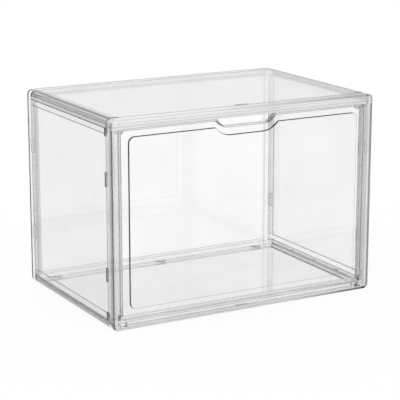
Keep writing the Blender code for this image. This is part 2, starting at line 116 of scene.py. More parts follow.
# %% Helpers for nodes and colours
def linear(hex_colour):
    """Linear RGBA of an sRGB colour such as #F4F4F2, by the sRGB standard's curve."""
    channels = [int(hex_colour[start:start + 2], 16) / 255 for start in (1, 3, 5)]
    light = [c / 12.92 if c <= 0.04045 else ((c + 0.055) / 1.055) ** 2.4 for c in channels]
    return (*light, 1.0)


def add_node(tree, kind, settings=None, values=None, links=None):
    """A node with its settings, its input values and the sockets that feed it.

    Sockets go by name, or by number where several have the same name.
    """
    node = tree.nodes.new(kind)
    for name, setting in (settings or {}).items():
        setattr(node, name, setting)
    for socket, value in (values or {}).items():
        node.inputs[socket].default_value = value
    for socket, source in (links or {}).items():
        tree.links.new(source, node.inputs[socket])
    return node


def empty_network(owner):
    """The node tree of a material or world, with nothing in it yet."""
    owner.use_nodes = True
    owner.node_tree.nodes.clear()
    return owner.node_tree


print("#F4F4F2 in linear light:", [round(channel, 3) for channel in linear("#F4F4F2")[:3]])

# %% [markdown]
# Painted shade in deeper greys, and haze by place
#
# The real frame and panels have more small steps in their walls than the CAD model, and each
# step turns some light away from the eye. A deeper grey painted in a narrow band stands for
# the dark line of such a step: it is painted shade. Faces that are lit from outside also carry
# scuffs and flow marks, which scatter some of the light and look milky, so some places get a
# share of haze. Both are placed by their distance in millimetres from the case's faces or its
# middle, which come from the loaded frame. So they stay put from any side, and a case of
# another size would carry them along.

# %% Masks, bands and haze
MIX_FACTOR, MIX_FIRST, MIX_SECOND, MIX_RESULT = 0, 6, 7, 2
(LEFT, FRONT, GROUND), (RIGHT, REAR, TOP) = cad_box
MEASURED_FROM = {"left": ("X", LEFT, 1), "right": ("X", RIGHT, -1), "front": ("Y", FRONT, 1),
                 "rear": ("Y", REAR, -1), "ground": ("Z", GROUND, 1), "top": ("Z", TOP, -1),
                 "side": ("X", RIGHT, -1), "middle": ("X", 0.0, 1),
                 "middle to the left": ("X", 0.0, -1)}
MIRRORED = ("side", "middle")
print(f"places are measured in a box of {(RIGHT - LEFT) / MM:.0f} x {(REAR - FRONT) / MM:.0f} "
      f"x {(TOP - GROUND) / MM:.0f} mm")


def mask_of(tree, place, conditions):
    """1 where the position on the object meets every condition, with soft borders.

    A condition is (what it is measured from, mm where it begins, mm where it is full). What
    is measured from the side or the middle is the same on the left and on the right.
    """
    parts = add_node(tree, "ShaderNodeSeparateXYZ", links={"Vector": place})
    mask = None
    for origin, begin, full in conditions:
        axis, start, direction = MEASURED_FROM[origin]
        value = parts.outputs[axis]
        if origin in MIRRORED:
            value = add_node(tree, "ShaderNodeMath", {"operation": "ABSOLUTE"},
                             links={0: value}).outputs["Value"]
        met = add_node(tree, "ShaderNodeMapRange", links={"Value": value},
                       values={"From Min": start + direction * begin * MM,
                               "From Max": start + direction * full * MM}).outputs["Result"]
        if mask is not None:
            met = add_node(tree, "ShaderNodeMath", {"operation": "MULTIPLY"},
                           links={0: mask, 1: met}).outputs["Value"]
        mask = met
    return mask


def deepened(tree, place, colour, bands):
    """The colour, multiplied by a grey in each band of (conditions, grey)."""
    # Each band's grey is painted shade: the dark line of a step or an edge.
    for conditions, grey in bands:
        tone = add_node(tree, "ShaderNodeMix", {"data_type": "RGBA", "blend_type": "MULTIPLY"},
                        values={MIX_SECOND: linear(grey)},
                        links={MIX_FACTOR: mask_of(tree, place, conditions), MIX_FIRST: colour})
        colour = tone.outputs[MIX_RESULT]
    return colour


def clear_share(tree, place, hazy):
    """The share of light that passes unscattered: less in each place of (conditions, haze)."""
    clear = None
    for conditions, haze in hazy:
        left = add_node(tree, "ShaderNodeMapRange", values={"To Min": 1.0, "To Max": 1.0 - haze},
                        links={"Value": mask_of(tree, place, conditions)}).outputs["Result"]
        if clear is not None:
            left = add_node(tree, "ShaderNodeMath", {"operation": "MINIMUM"},
                            links={0: clear, 1: left}).outputs["Value"]
        clear = left
    return clear


# %% [markdown]
# Clear polystyrene off polished steel
#
# Cases like this are general-purpose polystyrene, injection moulded. Its index of refraction
# is about 1.59, and acrylic's is 1.49; 1.52 lies between them and gives the dark lines the
# width that they have here. The broad faces come off polished steel, as smooth as glass.
# Two things still show. Each sheet takes a little of the light, and the faces wave very
# slightly, because the plastic shrinks as it cools. A bare glass shader would miss both, so
# the tint drifts between two greys over a few centimetres, and a bump of a few thousandths
# of a millimetre carries the waves. The tint is on the surface: light meets it on its way
# in and on its way out of each sheet.

# %% Polished faces
PLASTIC_IOR = 1.52
WAVE_MM = 70.0
WAVE_HEIGHT_MM = 0.006
CLOUD_MM = 45.0
TINT_STOPS = (0.3, 0.7)


def tinted(tree, place, pattern, greys, bands):
    """A tint that follows a pattern from the deep grey to the pale one, with its bands."""
    tint = add_node(tree, "ShaderNodeValToRGB", links={"Fac": pattern.outputs["Fac"]})
    for stop, position, grey in zip(tint.color_ramp.elements, TINT_STOPS, reversed(greys)):
        stop.position = position
        stop.color = linear(grey)
    # The bands add painted shade over the tint.
    return deepened(tree, place, tint.outputs["Color"], bands)


def polished_polystyrene(piece_name, greys, bands=(), hazy=()):
    """Glass-smooth moulded faces, tinted between a pale and a deep grey, with shallow waves."""
    material = bpy.data.materials.new(f"polished_polystyrene_{piece_name}")
    tree = empty_network(material)
    place = add_node(tree, "ShaderNodeTexCoord").outputs["Object"]
    clouds = add_node(tree, "ShaderNodeTexNoise", links={"Vector": place},
                      values={"Scale": 1 / (CLOUD_MM * MM), "Detail": 1.0})
    waves = add_node(tree, "ShaderNodeTexNoise", links={"Vector": place},
                     values={"Scale": 1 / (WAVE_MM * MM), "Detail": 0.0})
    bump = add_node(tree, "ShaderNodeBump", links={"Height": waves.outputs["Fac"]},
                    values={"Strength": 1.0, "Distance": WAVE_HEIGHT_MM * MM})
    shader = add_node(tree, "ShaderNodeBsdfPrincipled",
                      values={"Roughness": 0.0, "IOR": PLASTIC_IOR, "Transmission Weight": 1.0},
                      links={"Base Color": tinted(tree, place, clouds, greys, bands),
                             "Normal": bump.outputs["Normal"]})
    if hazy:
        tree.links.new(clear_share(tree, place, hazy), shader.inputs["Transmission Weight"])
    add_node(tree, "ShaderNodeOutputMaterial", links={"Surface": shader.outputs["BSDF"]})
    return material


print(f"polished faces: IOR {PLASTIC_IOR}, waves {WAVE_HEIGHT_MM} mm high, {WAVE_MM:.0f} mm long")

# %% [markdown]
# The narrow edges of the mouldings
#
# The ends of the sheets, the lips and the tabs come out of slots in the steel that no
# polishing stick reaches. They keep fine tool marks and scatter some light. On a clear box
# every edge also draws a grey line of shade, and here that line is painted. So they get a
# finish of their own: a deeper grey that is painted shade, a little roughness, and marks a
# millimetre and a half apart, which is coarser than real ones, so that they can show at all.

# %% Edge faces
TOOL_MARK_MM = 1.5
SMOOTHEST, ROUGHEST = 0.02, 0.12


def unpolished_edges_painted_shade(piece_name, greys, bands=()):
    """Narrow moulded faces, greyer than the sheets by painted shade, with fine tool marks in gloss.
    """
    material = bpy.data.materials.new(f"unpolished_edge_{piece_name}")
    tree = empty_network(material)
    place = add_node(tree, "ShaderNodeTexCoord").outputs["Object"]
    marks = add_node(tree, "ShaderNodeTexNoise", links={"Vector": place},
                     values={"Scale": 1 / (TOOL_MARK_MM * MM), "Detail": 2.0})
    gloss = add_node(tree, "ShaderNodeMapRange", links={"Value": marks.outputs["Fac"]},
                     values={"To Min": SMOOTHEST, "To Max": ROUGHEST})
    shader = add_node(tree, "ShaderNodeBsdfPrincipled",
                      values={"IOR": PLASTIC_IOR, "Transmission Weight": 1.0},
                      links={"Base Color": tinted(tree, place, marks, greys, bands),
                             "Roughness": gloss.outputs["Result"]})
    add_node(tree, "ShaderNodeOutputMaterial", links={"Surface": shader.outputs["BSDF"]})
    return material


print(f"edge faces: tool marks {TOOL_MARK_MM} mm apart, roughness {SMOOTHEST} to {ROUGHEST}")

# %% [markdown]
# From a CAD node to a moulding
#
# A CAD solid has knife-sharp edges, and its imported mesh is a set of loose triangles. Real
# mouldings have a small round on every edge, because steel can't be cut to a knife's edge
# and plastic doesn't fill it. In clear plastic that round decides the look: light that goes
# in through it is trapped in the sheet, and the eye sees a thin dark line. So each node is
# copied, its triangles are joined into whole faces, and a bevel rounds the edges between
# them. The next cells do this step by step, and the copy then stands for the node.
#
# The faces are told apart first, because they get different finishes. What counts is how
# wide a flat patch is: broad ones are sheets, those up to 13 mm wide are rims, and those
# narrower than 2.3 mm with sharp borders are edges.

# %% Sheets, rims and edges
FLAT_DEGREES = 0.3
EDGE_STRIP_MM = 2.3
RIM_STRIP_MM = 13.0
CREASE_DEGREES = 40.0
CREASED_SHARE = 0.15
SHEET, RIM, EDGE = 0, 1, 2
print(f"edges are under {EDGE_STRIP_MM} mm wide, rims under {RIM_STRIP_MM:.0f} mm")


def flat_patches(mesh):
    """Groups of faces that lie in one plane and touch each other."""
    left = set(mesh.faces)
    flat = math.radians(FLAT_DEGREES)
    patches = []
    while left:
        patch = [left.pop()]
        for face in patch:
            for edge in face.edges:
                for neighbour in edge.link_faces:
                    if neighbour in left and edge.calc_face_angle(math.pi) < flat:
                        left.remove(neighbour)
                        patch.append(neighbour)
        patches.append(patch)
    return patches


def outline_of(patch):
    """Edges that only one face of the patch has."""
    inside = set(patch)
    return {edge for face in patch for edge in face.edges
            if sum(neighbour in inside for neighbour in edge.link_faces) == 1}


def kind_of(patch):
    """Sheet, rim or edge, from the patch's width: twice its area over its outline's length."""
    outline = outline_of(patch)
    length = sum(edge.calc_length() for edge in outline)
    width = 2 * sum(face.calc_area() for face in patch) / length
    creased = sum(edge.calc_length() for edge in outline
                  if math.degrees(edge.calc_face_angle(math.pi)) > CREASE_DEGREES)
    if width < EDGE_STRIP_MM * MM and creased > CREASED_SHARE * length:
        return EDGE
    return RIM if width < RIM_STRIP_MM * MM else SHEET


# %% [markdown]
# Room for the rounds across a face
#
# Where two sharp edges lie close together, two full rounds would meet and fold the narrow
# face between them. So each round may take up only a part of the gap to the edge that it
# faces. A moulder does the same: a thin lip has smaller rounds than a thick wall.

# %% Room across a face
ROOM_SHARE = 0.42
ROOM_SHARE_ALONE = 1.5 * ROOM_SHARE
FACING = -0.5
print(f"a round takes up to {ROOM_SHARE:.0%} of a gap, or {ROOM_SHARE_ALONE:.0%} if it is alone")


def into_face(edge, face):
    """Direction square to an edge of a face, pointing over the face."""
    loop = next(loop for loop in edge.link_loops if loop.face == face)
    return face.normal.cross(loop.link_loop_next.vert.co - loop.vert.co).normalized()


def gap_between(one, other):
    """Smallest distance between two edges of a flat face."""
    gaps = []
    for near, far in ((one, other), (other, one)):
        start, end = (vert.co for vert in far.verts)
        for vert in near.verts:
            share = intersect_point_line(vert.co, start, end)[1]
            gaps.append((vert.co - start.lerp(end, min(max(share, 0.0), 1.0))).length)
    return min(gaps)


def share_narrow_patches(patches, widths):
    """Where two edges face each other over a narrow patch, let each round have a part of it."""
    for patch in patches:
        borders = [(edge, face) for face in patch for edge in face.edges]
        outline = outline_of(patch)
        for (one, face), (other, far_face) in itertools.permutations(borders, 2):
            met = face is far_face or other in outline
            if one not in widths or not met or set(one.verts) & set(other.verts):
                continue
            if into_face(one, face).dot(into_face(other, far_face)) < FACING:
                share = ROOM_SHARE if other in widths else ROOM_SHARE_ALONE
                widths[one] = min(widths[one], share * gap_between(one, other))


# %% [markdown]
# Room for the rounds along an edge
#
# A short edge has a round at each end too, and together they may not use up its length. A
# crease that runs on into the next one keeps the same width, so that its line stays even.
# Each of these two steps changes what the other starts from, so they take turns until the
# widths have settled.

# %% Room along an edge
SETTLING_TURNS = 12
STRAIGHT_SINE = 0.05
NEARLY_WHOLE = 0.9


def share_short_edges(mesh, widths):
    """Where the rounds at both ends of an edge take up its length, make them smaller."""
    for loop in (loop for face in mesh.faces for loop in face.loops):
        own = widths.get(loop.edge, 0.0)
        ends = ((loop, loop.link_loop_prev.edge), (loop.link_loop_next, loop.link_loop_next.edge))
        taken = 0.0
        for corner, neighbour in ends:
            angle = corner.calc_angle() if corner.is_convex else 2 * math.pi - corner.calc_angle()
            if abs(math.sin(angle)) > STRAIGHT_SINE:
                taken += (widths.get(neighbour, 0.0) + own * math.cos(angle)) / math.sin(angle)
        room = 2 * ROOM_SHARE * loop.edge.calc_length()
        if taken > room:
            for _, neighbour in ends:
                if neighbour in widths:
                    widths[neighbour] *= room / taken


def run_on(mesh, widths):
    """Where one crease runs on into the next, give both the smaller width."""
    for corner in mesh.verts:
        creases = [edge for edge in corner.link_edges if edge in widths]
        for one, other in itertools.combinations(creases, 2):
            ahead, back = (edge.other_vert(corner).co - corner.co for edge in (one, other))
            if ahead.angle(-back) < math.radians(CREASE_DEGREES):
                widths[one] = widths[other] = min(widths[one], widths[other])


def mark_rounds(mesh, patches, round_mm):
    """Give each crease a bevel weight, full where there is room for the whole round."""
    weight = mesh.edges.layers.float["bevel_weight_edge"]
    widths = {edge: round_mm * MM for edge in mesh.edges
              if math.degrees(edge.calc_face_angle(0.0)) > CREASE_DEGREES}
    share_narrow_patches(patches, widths)
    for _ in range(SETTLING_TURNS):
        share_short_edges(mesh, widths)
        run_on(mesh, widths)
    for edge, width in widths.items():
        edge[weight] = width / (round_mm * MM)
    length = sum(edge.calc_length() for edge in widths)
    whole = sum(edge.calc_length() for edge, width in widths.items()
                if width > NEARLY_WHOLE * round_mm * MM)
    print(f"  {len(widths)} creases, {whole / length:.0%} of their length with a round "
          f"of {round_mm} mm")


# %% [markdown]
# Join the triangles
#
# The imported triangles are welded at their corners. Then the lines between two that lie in
# one plane are dissolved, the longest first, because a bevel needs whole faces and would
# otherwise stop at every long thin triangle. The mesh can be given a finer outline here, as
# pairs of old and new points, before its rounds are measured.

# %% Join the triangles
WELD_MM = 0.001
MATCH_MM = 0.004
JOIN_LONGER_MM = (100, 50, 20, 10, 5, 2, 1)


def move_outline(mesh, moves):
    """Move points of the front view, given as pairs of (across, up), whatever their depth."""
    moved = 0
    for vert in mesh.verts:
        for (across, up), new in moves:
            if abs(vert.co.x - across) < MATCH_MM * MM and abs(vert.co.z - up) < MATCH_MM * MM:
                vert.co.x, vert.co.z = new
                moved += 1
                break
    if moves:
        print(f"{moved} points moved to the new outline")


def joined_faces(node_name, round_mm, moves):
    """Mesh of a CAD node with whole faces, sorted into sheets, rims and edges."""
    mesh = bmesh.new()
    mesh.from_mesh(frame["nodes"][node_name].data)
    mesh.edges.layers.float.new("bevel_weight_edge")
    bmesh.ops.remove_doubles(mesh, verts=mesh.verts, dist=WELD_MM * MM)
    flat = math.radians(FLAT_DEGREES)
    for shortest_mm in JOIN_LONGER_MM:
        inner = [edge for edge in mesh.edges if edge.calc_length() > shortest_mm * MM
                 and edge.calc_face_angle(math.pi) < flat]
        bmesh.ops.dissolve_edges(mesh, edges=inner, use_verts=False, use_face_split=False)
    bmesh.ops.dissolve_limit(mesh, angle_limit=flat, verts=mesh.verts, edges=mesh.edges)
    move_outline(mesh, moves)
    patches = flat_patches(mesh)
    kinds = [kind_of(patch) for patch in patches]
    for patch, kind in zip(patches, kinds):
        for face in patch:
            face.material_index = kind
    print(f"{node_name}: {kinds.count(SHEET)} sheet faces, {kinds.count(RIM)} of rims, "
          f"{kinds.count(EDGE)} of edges")
    mark_rounds(mesh, patches, round_mm)
    return mesh


# %% [markdown]
# Round the edges
#
# The bevel cuts each crease as wide as its weight says, and its strips get the edge finish.
# The result is kept as a plain mesh, and slivers that the bevel leaves are dissolved. Flat
# faces keep flat shading: in clear plastic a normal that is smoothed over a narrow round
# would bend everything behind it. Only the strips of the CAD model's larger rounds, such as
# the long corners of the case, are shaded smoothly.

# %% Round the edges
ROUND_STEPS = 2
SLIVER_MM = 0.02
SMOOTH_STRIP_MM = 3.0
SMOOTH_DEGREES = 20.0


def is_round_facet(face):
    """True for a strip of a larger round: it meets both long neighbours at a small angle."""
    if 2 * face.calc_area() / face.calc_perimeter() > SMOOTH_STRIP_MM * MM:
        return False
    long_edges = sorted(face.edges, key=lambda edge: edge.calc_length())[-2:]
    return all(math.degrees(edge.calc_face_angle(math.pi)) < SMOOTH_DEGREES for edge in long_edges)


def round_edges(piece, round_mm):
    """Bevel every crease by its weight, and shade only strips of the larger rounds smoothly."""
    rounds = piece.modifiers.new("edge_rounds", "BEVEL")
    rounds.width = round_mm * MM
    rounds.segments = ROUND_STEPS
    rounds.limit_method = "WEIGHT"
    rounds.use_clamp_overlap = False
    rounds.material = EDGE
    sharp = piece.data
    beveled = piece.evaluated_get(bpy.context.evaluated_depsgraph_get())
    piece.data = bpy.data.meshes.new_from_object(beveled)
    piece.data.name = piece.name
    piece.modifiers.clear()
    bpy.data.meshes.remove(sharp)
    mesh = bmesh.new()
    mesh.from_mesh(piece.data)
    bmesh.ops.dissolve_degenerate(mesh, dist=SLIVER_MM * MM, edges=mesh.edges)
    for face in mesh.faces:
        face.smooth = is_round_facet(face)
    open_edges = sum(not edge.is_manifold for edge in mesh.edges)
    mesh.to_mesh(piece.data)
    print(f"{piece.name}: {len(mesh.faces)} faces with rounds, {open_edges} open edges, "
          f"{mesh.calc_volume() / MM ** 3 / 1000:.1f} cm3")
    mesh.free()


# %% [markdown]
# Put the moulding in its place
#
# One function now makes a whole piece from the name of its node. The piece stands exactly
# where the node is, so it needs no fitting: it rides on the same body, and the node is hidden.
# Rims get the same polished finish as sheets, with greys of their own, because the frame and
# the flanges look deeper than the panels; those greys are painted shade.

# %% Put the moulding in its place
FRONT_ROUND_MM = 0.3
PANEL_ROUND_MM = 0.4
BODY_OF = {node: body for body, nodes in frame["record"]["behaviour"]["bodies"].items()
           for node in nodes}
print(f"{len(BODY_OF)} nodes on {len(set(BODY_OF.values()))} bodies")


def place_mesh(name, mesh):
    """An object with a finished mesh, in the scene."""
    data = bpy.data.meshes.new(name)
    mesh.to_mesh(data)
    mesh.free()
    piece = bpy.data.objects.new(name, data)
    bpy.context.scene.collection.objects.link(piece)
    return piece


def moulding(node_name, round_mm, sheet, rim, edge, bands=(), hazy=(), moves=()):
    """Make the moulded piece that stands for a CAD node, with its rounds and three finishes.

    sheet, rim and edge are each a pale and a deep grey. A band is (finishes, conditions,
    grey), where finishes is a word or more of "sheet rim edge", and its grey is painted shade.
    hazy holds (conditions, haze) for the rims, and moves holds old and new points of the outline.
    """
    piece = place_mesh(f"{node_name}_moulding", joined_faces(node_name, round_mm, moves))
    of = {finish: [(conditions, grey) for finishes, conditions, grey in bands
                   if finish in finishes.split()] for finish in ("sheet", "rim", "edge")}
    for finish in (polished_polystyrene(f"{node_name}_sheet", sheet, of["sheet"]),
                   # Each piece's rim greys are its own; where they are deeper, they are painted
                   # shade.
                   polished_polystyrene(f"{node_name}_rim", rim, of["rim"], hazy),
                   unpolished_edges_painted_shade(node_name, edge, of["edge"])):
        piece.data.materials.append(finish)
    round_edges(piece, round_mm)
    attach(piece, BODY_OF[node_name])
    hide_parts(node_name)


# %% [markdown]
# The front frame
#
# The frame is a ring that snaps over the front of the case and carries the door. It is a
# channel: a face bar, an outer return that meets the panels, and an inner wall round the
# door. Its faces are nearly clear, and its edges are painted the greyest of the whole case,
# as painted shade. The real bars are stepped, and the thin grey lines painted on the face
# stand for the shade of those steps; the other grey bands on the frame, such as the dark band
# on the returns near the front and the marks at the tabs, are painted shade too. The top bar,
# the corners and most of the bottom bar look milky, so they have the most haze.

# %% Front frame
FACE = ("front", 1.2, 0.6)
NEAR_FACE = ("front", 2.6, 2.0)
FADES_TO_THE_RIGHT = ("right", 22.5, 112.5)
LINE_HALF_MM = 0.4
LINE_SOFT_MM = 0.05
STEPS = (("ground", 2.8), ("top", 8.0), ("top", 4.8))

STEP_LINES = [((origin, at - LINE_HALF_MM - LINE_SOFT_MM, at - LINE_HALF_MM + LINE_SOFT_MM),
               (origin, at + LINE_HALF_MM + LINE_SOFT_MM, at + LINE_HALF_MM - LINE_SOFT_MM), FACE)
              for origin, at in STEPS]
SIDE_WALLS = (("side", 3.5, 2.5), ("front", 13.0, 10.0))
SIDE_WALLS_NEAR_FRONT = (("side", 1.3, 0.7), ("front", 6.0, 3.5))
TABS = (("front", 12.05, 12.15),)
RIGHT_STEP = (("right", 9.6, 9.2), ("right", 5.3, 5.7), FACE)
TOP_CORNER_LINE = (("right", 212.5, 32.5), ("top", 3.1, 2.5))

TOP_CORNER = (("top", 2.6, 1.8), FACE)
TOP_BAR = (("top", 11.5, 10.5), FACE)
TOP_BAR_FOOT = (("top", 11.7, 11.3), ("top", 9.8, 10.2), NEAR_FACE)
RIGHT_CORNER = (("right", 5.0, 3.0), FACE)
BOTTOM_CORNER = (("ground", 3.2, 2.0), FADES_TO_THE_RIGHT, FACE)
BOTTOM_BAR_HEAD = (("ground", 10.2, 10.5), ("ground", 11.6, 11.3), FADES_TO_THE_RIGHT, NEAR_FACE)
LEFT_STEP = (("left", 2.7, 3.3), ("left", 5.7, 5.1), FACE)
LEFT_INNER_ROUND = (("left", 9.9, 10.3), ("left", 12.5, 11.5), NEAR_FACE)
RIGHT_INNER_WALL = (("right", 11.5, 11.2), ("right", 10.3, 10.6), ("front", 4.5, 3.5))

moulding("front_frame", FRONT_ROUND_MM,
         sheet=("#FCFCFC", "#F6F6F6"), rim=("#FAFAFA", "#F4F4F4"), edge=("#C4C4C4", "#A8A8A8"),
         bands=[("rim", SIDE_WALLS, "#F2F2F2"), ("rim", SIDE_WALLS_NEAR_FRONT, "#A8A8A8"),
                ("rim edge", TABS, "#909090"), ("rim", RIGHT_STEP, "#C4C4C4"),
                ("rim", TOP_CORNER_LINE, "#C8C8C8"),
                *(("rim", line, "#D8D8D8") for line in STEP_LINES)],
         hazy=[(TOP_CORNER, 0.8), (TOP_BAR, 0.6), (TOP_BAR_FOOT, 0.85), (RIGHT_CORNER, 0.3),
               (BOTTOM_CORNER, 0.75), (BOTTOM_BAR_HEAD, 0.9), (LEFT_STEP, 0.4),
               (LEFT_INNER_ROUND, 0.8), (RIGHT_INNER_WALL, 0.5)])

# %% [markdown]
# Outlines with rounded corners
#
# The door's top edge dips for a fingertip, and its window dips under it. The real curves
# are softer than the CAD model's, whose corners are kept tight so that its collision pieces
# fit them. The cell below gives the points along a row of rounded corners. It is used for
# the old outline and for the new one, so that the points of the two match one by one.

# %% Points of an outline
ARC_STEPS = 6
SHARP_MM = 0.4


def rounded_corners(corners, inset_mm):
    """Points round every corner between the first and the last, moved inwards by the inset.

    Each corner is (across, up, radius) in mm, and they run anticlockwise. A corner that points
    outwards loses the inset from its radius and a hollow one gains it.
    """
    points = []
    for (a0, b0, _), (a, b, radius), (a1, b1, _) in zip(corners, corners[1:], corners[2:]):
        arriving = Vector((a - a0, b - b0)).normalized()
        leaving = Vector((a1 - a, b1 - b)).normalized()
        side = Vector((-arriving.y, arriving.x))
        side_after = Vector((-leaving.y, leaving.x))
        turn = math.atan2(arriving.x * leaving.y - arriving.y * leaving.x, arriving.dot(leaving))
        outwards = 1.0 if turn > 0 else -1.0
        corner = Vector((a, b)) + (side + side_after) * inset_mm / (1.0 + side.dot(side_after))
        arc_radius = max(radius - outwards * inset_mm, SHARP_MM)
        start = corner - arriving * arc_radius * math.tan(abs(turn) / 2)
        centre = start + side * arc_radius * outwards
        for step in range(ARC_STEPS + 1):
            spoke = Matrix.Rotation(turn * step / ARC_STEPS, 2) @ (start - centre)
            points.append((centre + spoke) * MM)
    return points


# %% [markdown]
# The notch and the window's dip
#
# Both dips are given by half their width at the mouth and at the floor, how far they drop,
# and the radius of their corners. The same outline is met at several insets: the steps of
# the door's rounded front edge, the inside of its rim, and both ends of the window's walls.

# %% Dips in the door
DOOR_SIDE_MM, _, DOOR_TOP_MM = (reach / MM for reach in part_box("door")[1])
DOOR_EDGE_ROUND_MM = 0.5
DOOR_EDGE_STEPS = 3
DOOR_RIM_MM = 2.0
WINDOW_TOP_BORDER_MM = 8.5
WINDOW_TOP_MM = DOOR_TOP_MM - WINDOW_TOP_BORDER_MM
WINDOW_LEAN_MM = 0.6

NOTCH_INSETS_MM = [DOOR_EDGE_ROUND_MM * (1 - math.cos(math.pi / 2 * step / DOOR_EDGE_STEPS))
                   for step in range(DOOR_EDGE_STEPS + 1)] + [DOOR_RIM_MM]
WINDOW_INSETS_MM = [0.0, WINDOW_LEAN_MM]


def dip_outline(top, mouth, mouth_radius, floor, floor_radius, drop):
    """Corners of a dip in a level line, from right to left."""
    return [(DOOR_SIDE_MM, top, 0.0), (mouth, top, mouth_radius), (floor, top - drop, floor_radius),
            (-floor, top - drop, floor_radius), (-mouth, top, mouth_radius),
            (-DOOR_SIDE_MM, top, 0.0)]


def dip_moves(before, after, insets):
    """Old and new points of a dip, for each inset."""
    return [pair for inset in insets
            for pair in zip(rounded_corners(before, inset), rounded_corners(after, inset))]


cad_notch = dip_outline(DOOR_TOP_MM, mouth=39.5, mouth_radius=1.2,
                        floor=29.0, floor_radius=6.5, drop=9.8)
soft_notch = dip_outline(DOOR_TOP_MM, mouth=38.2, mouth_radius=1.2,
                         floor=32.5, floor_radius=16.5, drop=8.4)
cad_window = dip_outline(WINDOW_TOP_MM, mouth=48.2, mouth_radius=16.0,
                         floor=27.0, floor_radius=16.0, drop=9.8)
soft_window = dip_outline(WINDOW_TOP_MM, mouth=40.9, mouth_radius=2.5,
                          floor=32.4, floor_radius=25.0, drop=9.8)
notch_moves = dip_moves(cad_notch, soft_notch, NOTCH_INSETS_MM)
window_moves = dip_moves(cad_window, soft_window, WINDOW_INSETS_MM)
print(f"{len(notch_moves)} moves for the notch, {len(window_moves)} for the window")

# %% [markdown]
# The door
#
# The door is a shallow tray on two stub pins. Its middle is a raised window with steep
# walls, and that step draws the dark outline that stands out most in the photograph. Its
# top edge dips to leave room for a fingertip. The window is the clearest part of the case,
# and the bands paint shade in deeper grey on the window's walls and its dip, the slopes and
# edges of the notch, a low line and the door's right edge.

# %% Door
WINDOW_WALLS = (("front", 2.1, 1.7),)
WINDOW_RIGHT_END = (("right", 22.2, 22.0), ("right", 20.3, 20.5), ("ground", 23.8, 24.8),
                    ("top", 22.7, 24.2), ("front", 2.2, 1.8))
LEFT_DIP = (("middle to the left", 22.0, 24.0), ("middle to the left", 43.0, 41.0),
            ("top", 31.2, 30.2), ("front", 2.1, 1.7))
BESIDE_NOTCH = (("middle", 24.0, 28.0), ("middle", 41.0, 39.0))
NOTCH_SLOPES = (*BESIDE_NOTCH, ("top", 22.2, 21.2), ("front", 2.2, 3.2))
NOTCH_REAR_EDGE = (*BESIDE_NOTCH, ("top", 21.2, 20.2), ("front", 6.8, 7.2))
NOTCH_LEFT_LINE = (("middle to the left", 27.0, 31.0), ("middle to the left", 41.0, 39.5),
                   ("top", 21.7, 20.7), ("front", 2.03, 2.15), ("front", 3.2, 2.8))
DOOR_LOW_LINE = (("ground", 16.0, 16.1), ("ground", 16.9, 16.8))
DOOR_RIGHT_EDGE = (("right", 14.1, 13.5),)

DOOR_TOP = ("top", 13.3, 12.7)
NOTCH_FLOOR = (("middle", 28.0, 23.0), ("top", 21.2, 20.6))
DOOR_TOP_LEFT = (DOOR_TOP, ("middle to the left", 38.5, 40.5))
DOOR_TOP_RIGHT = (DOOR_TOP, ("middle to the left", 28.0, 26.0))
DOOR_BOTTOM = (("ground", 15.4, 14.8), FADES_TO_THE_RIGHT)

moulding("door", FRONT_ROUND_MM,
         sheet=("#FEFEFE", "#FBFBFB"), rim=("#FEFEFE", "#FBFBFB"), edge=("#F4F4F4", "#ECECEC"),
         bands=[("edge", WINDOW_WALLS, "#787878"), ("rim edge", NOTCH_SLOPES, "#D0D0D0"),
                ("edge", LEFT_DIP, "#606060"), ("sheet rim edge", WINDOW_RIGHT_END, "#808080"),
                ("rim edge", NOTCH_REAR_EDGE, "#606060"),
                ("rim edge", NOTCH_LEFT_LINE, "#808080"), ("rim", DOOR_LOW_LINE, "#E0E0E0"),
                ("rim edge", DOOR_RIGHT_EDGE, "#CCCCCC")],
         hazy=[(NOTCH_FLOOR, 0.6), (DOOR_TOP_LEFT, 0.8), (DOOR_TOP_RIGHT, 0.8),
               (DOOR_BOTTOM, 1.0)],
         moves=notch_moves + window_moves)

# %% [markdown]
# The top
#
# The lid plate turns down at its sides over the side panels. It is seen at a grazing angle,
# where a sheet reflects a quarter of the light and passes less, so it looks greyer, and its
# deeper grey tint paints that shade in. Its side skirts overlap the side panels, and the lines
# of that overlap run along both side edges, painted as bands of deeper grey.

# %% Top panel
TOP_FACE = ("top", 1.0, 0.5)
OUTER_SIDES = (("side", 7.5, 4.5),)
TOP_ROUND_LINE = (("side", 3.5, 2.5), ("top", 4.2, 3.7), ("top", 2.3, 2.8))
TOP_SIDE_BAND = (("side", 15.5, 13.5), TOP_FACE)
TOP_SIDE_LINE = (("side", 8.7, 7.7), ("side", 4.5, 5.5), TOP_FACE)
SKIRT_FOOT = (("side", 0.9, 0.5), ("top", 6.6, 7.4))

moulding("top_panel", PANEL_ROUND_MM,
         sheet=("#E9E9E9", "#E5E5E5"), rim=("#F2F2F2", "#EAEAEA"), edge=("#D8D8D8", "#C8C8C8"),
         bands=[("rim", OUTER_SIDES, "#DCDCDC"), ("edge", OUTER_SIDES, "#C8C8C8"),
                ("rim edge", TOP_ROUND_LINE, "#A0A0A0"), ("sheet rim", TOP_SIDE_BAND, "#D0D0D0"),
                ("sheet rim edge", TOP_SIDE_LINE, "#A0A0A0")],
         hazy=[(SKIRT_FOOT, 0.8)])

# %% [markdown]
# The bottom
#
# The floor plate stands on a foot rim that stacks on the case below. Its rear edge has three
# half-oval lugs that hook under the back panel. The bands paint shade in deeper grey on its
# low outer sides, its front foot and the lugs, which show as small dark marks through all the
# plastic in front of them.

# %% Bottom panel
LOW_OUTER_SIDES = (("side", 4.0, 2.0), ("ground", 6.5, 5.0), ("rear", 2.0, 3.0))
FRONT_FOOT = (("front", 17.0, 15.0),)
LUGS = (("rear", 10.2, 9.8), ("ground", 2.4, 1.9))

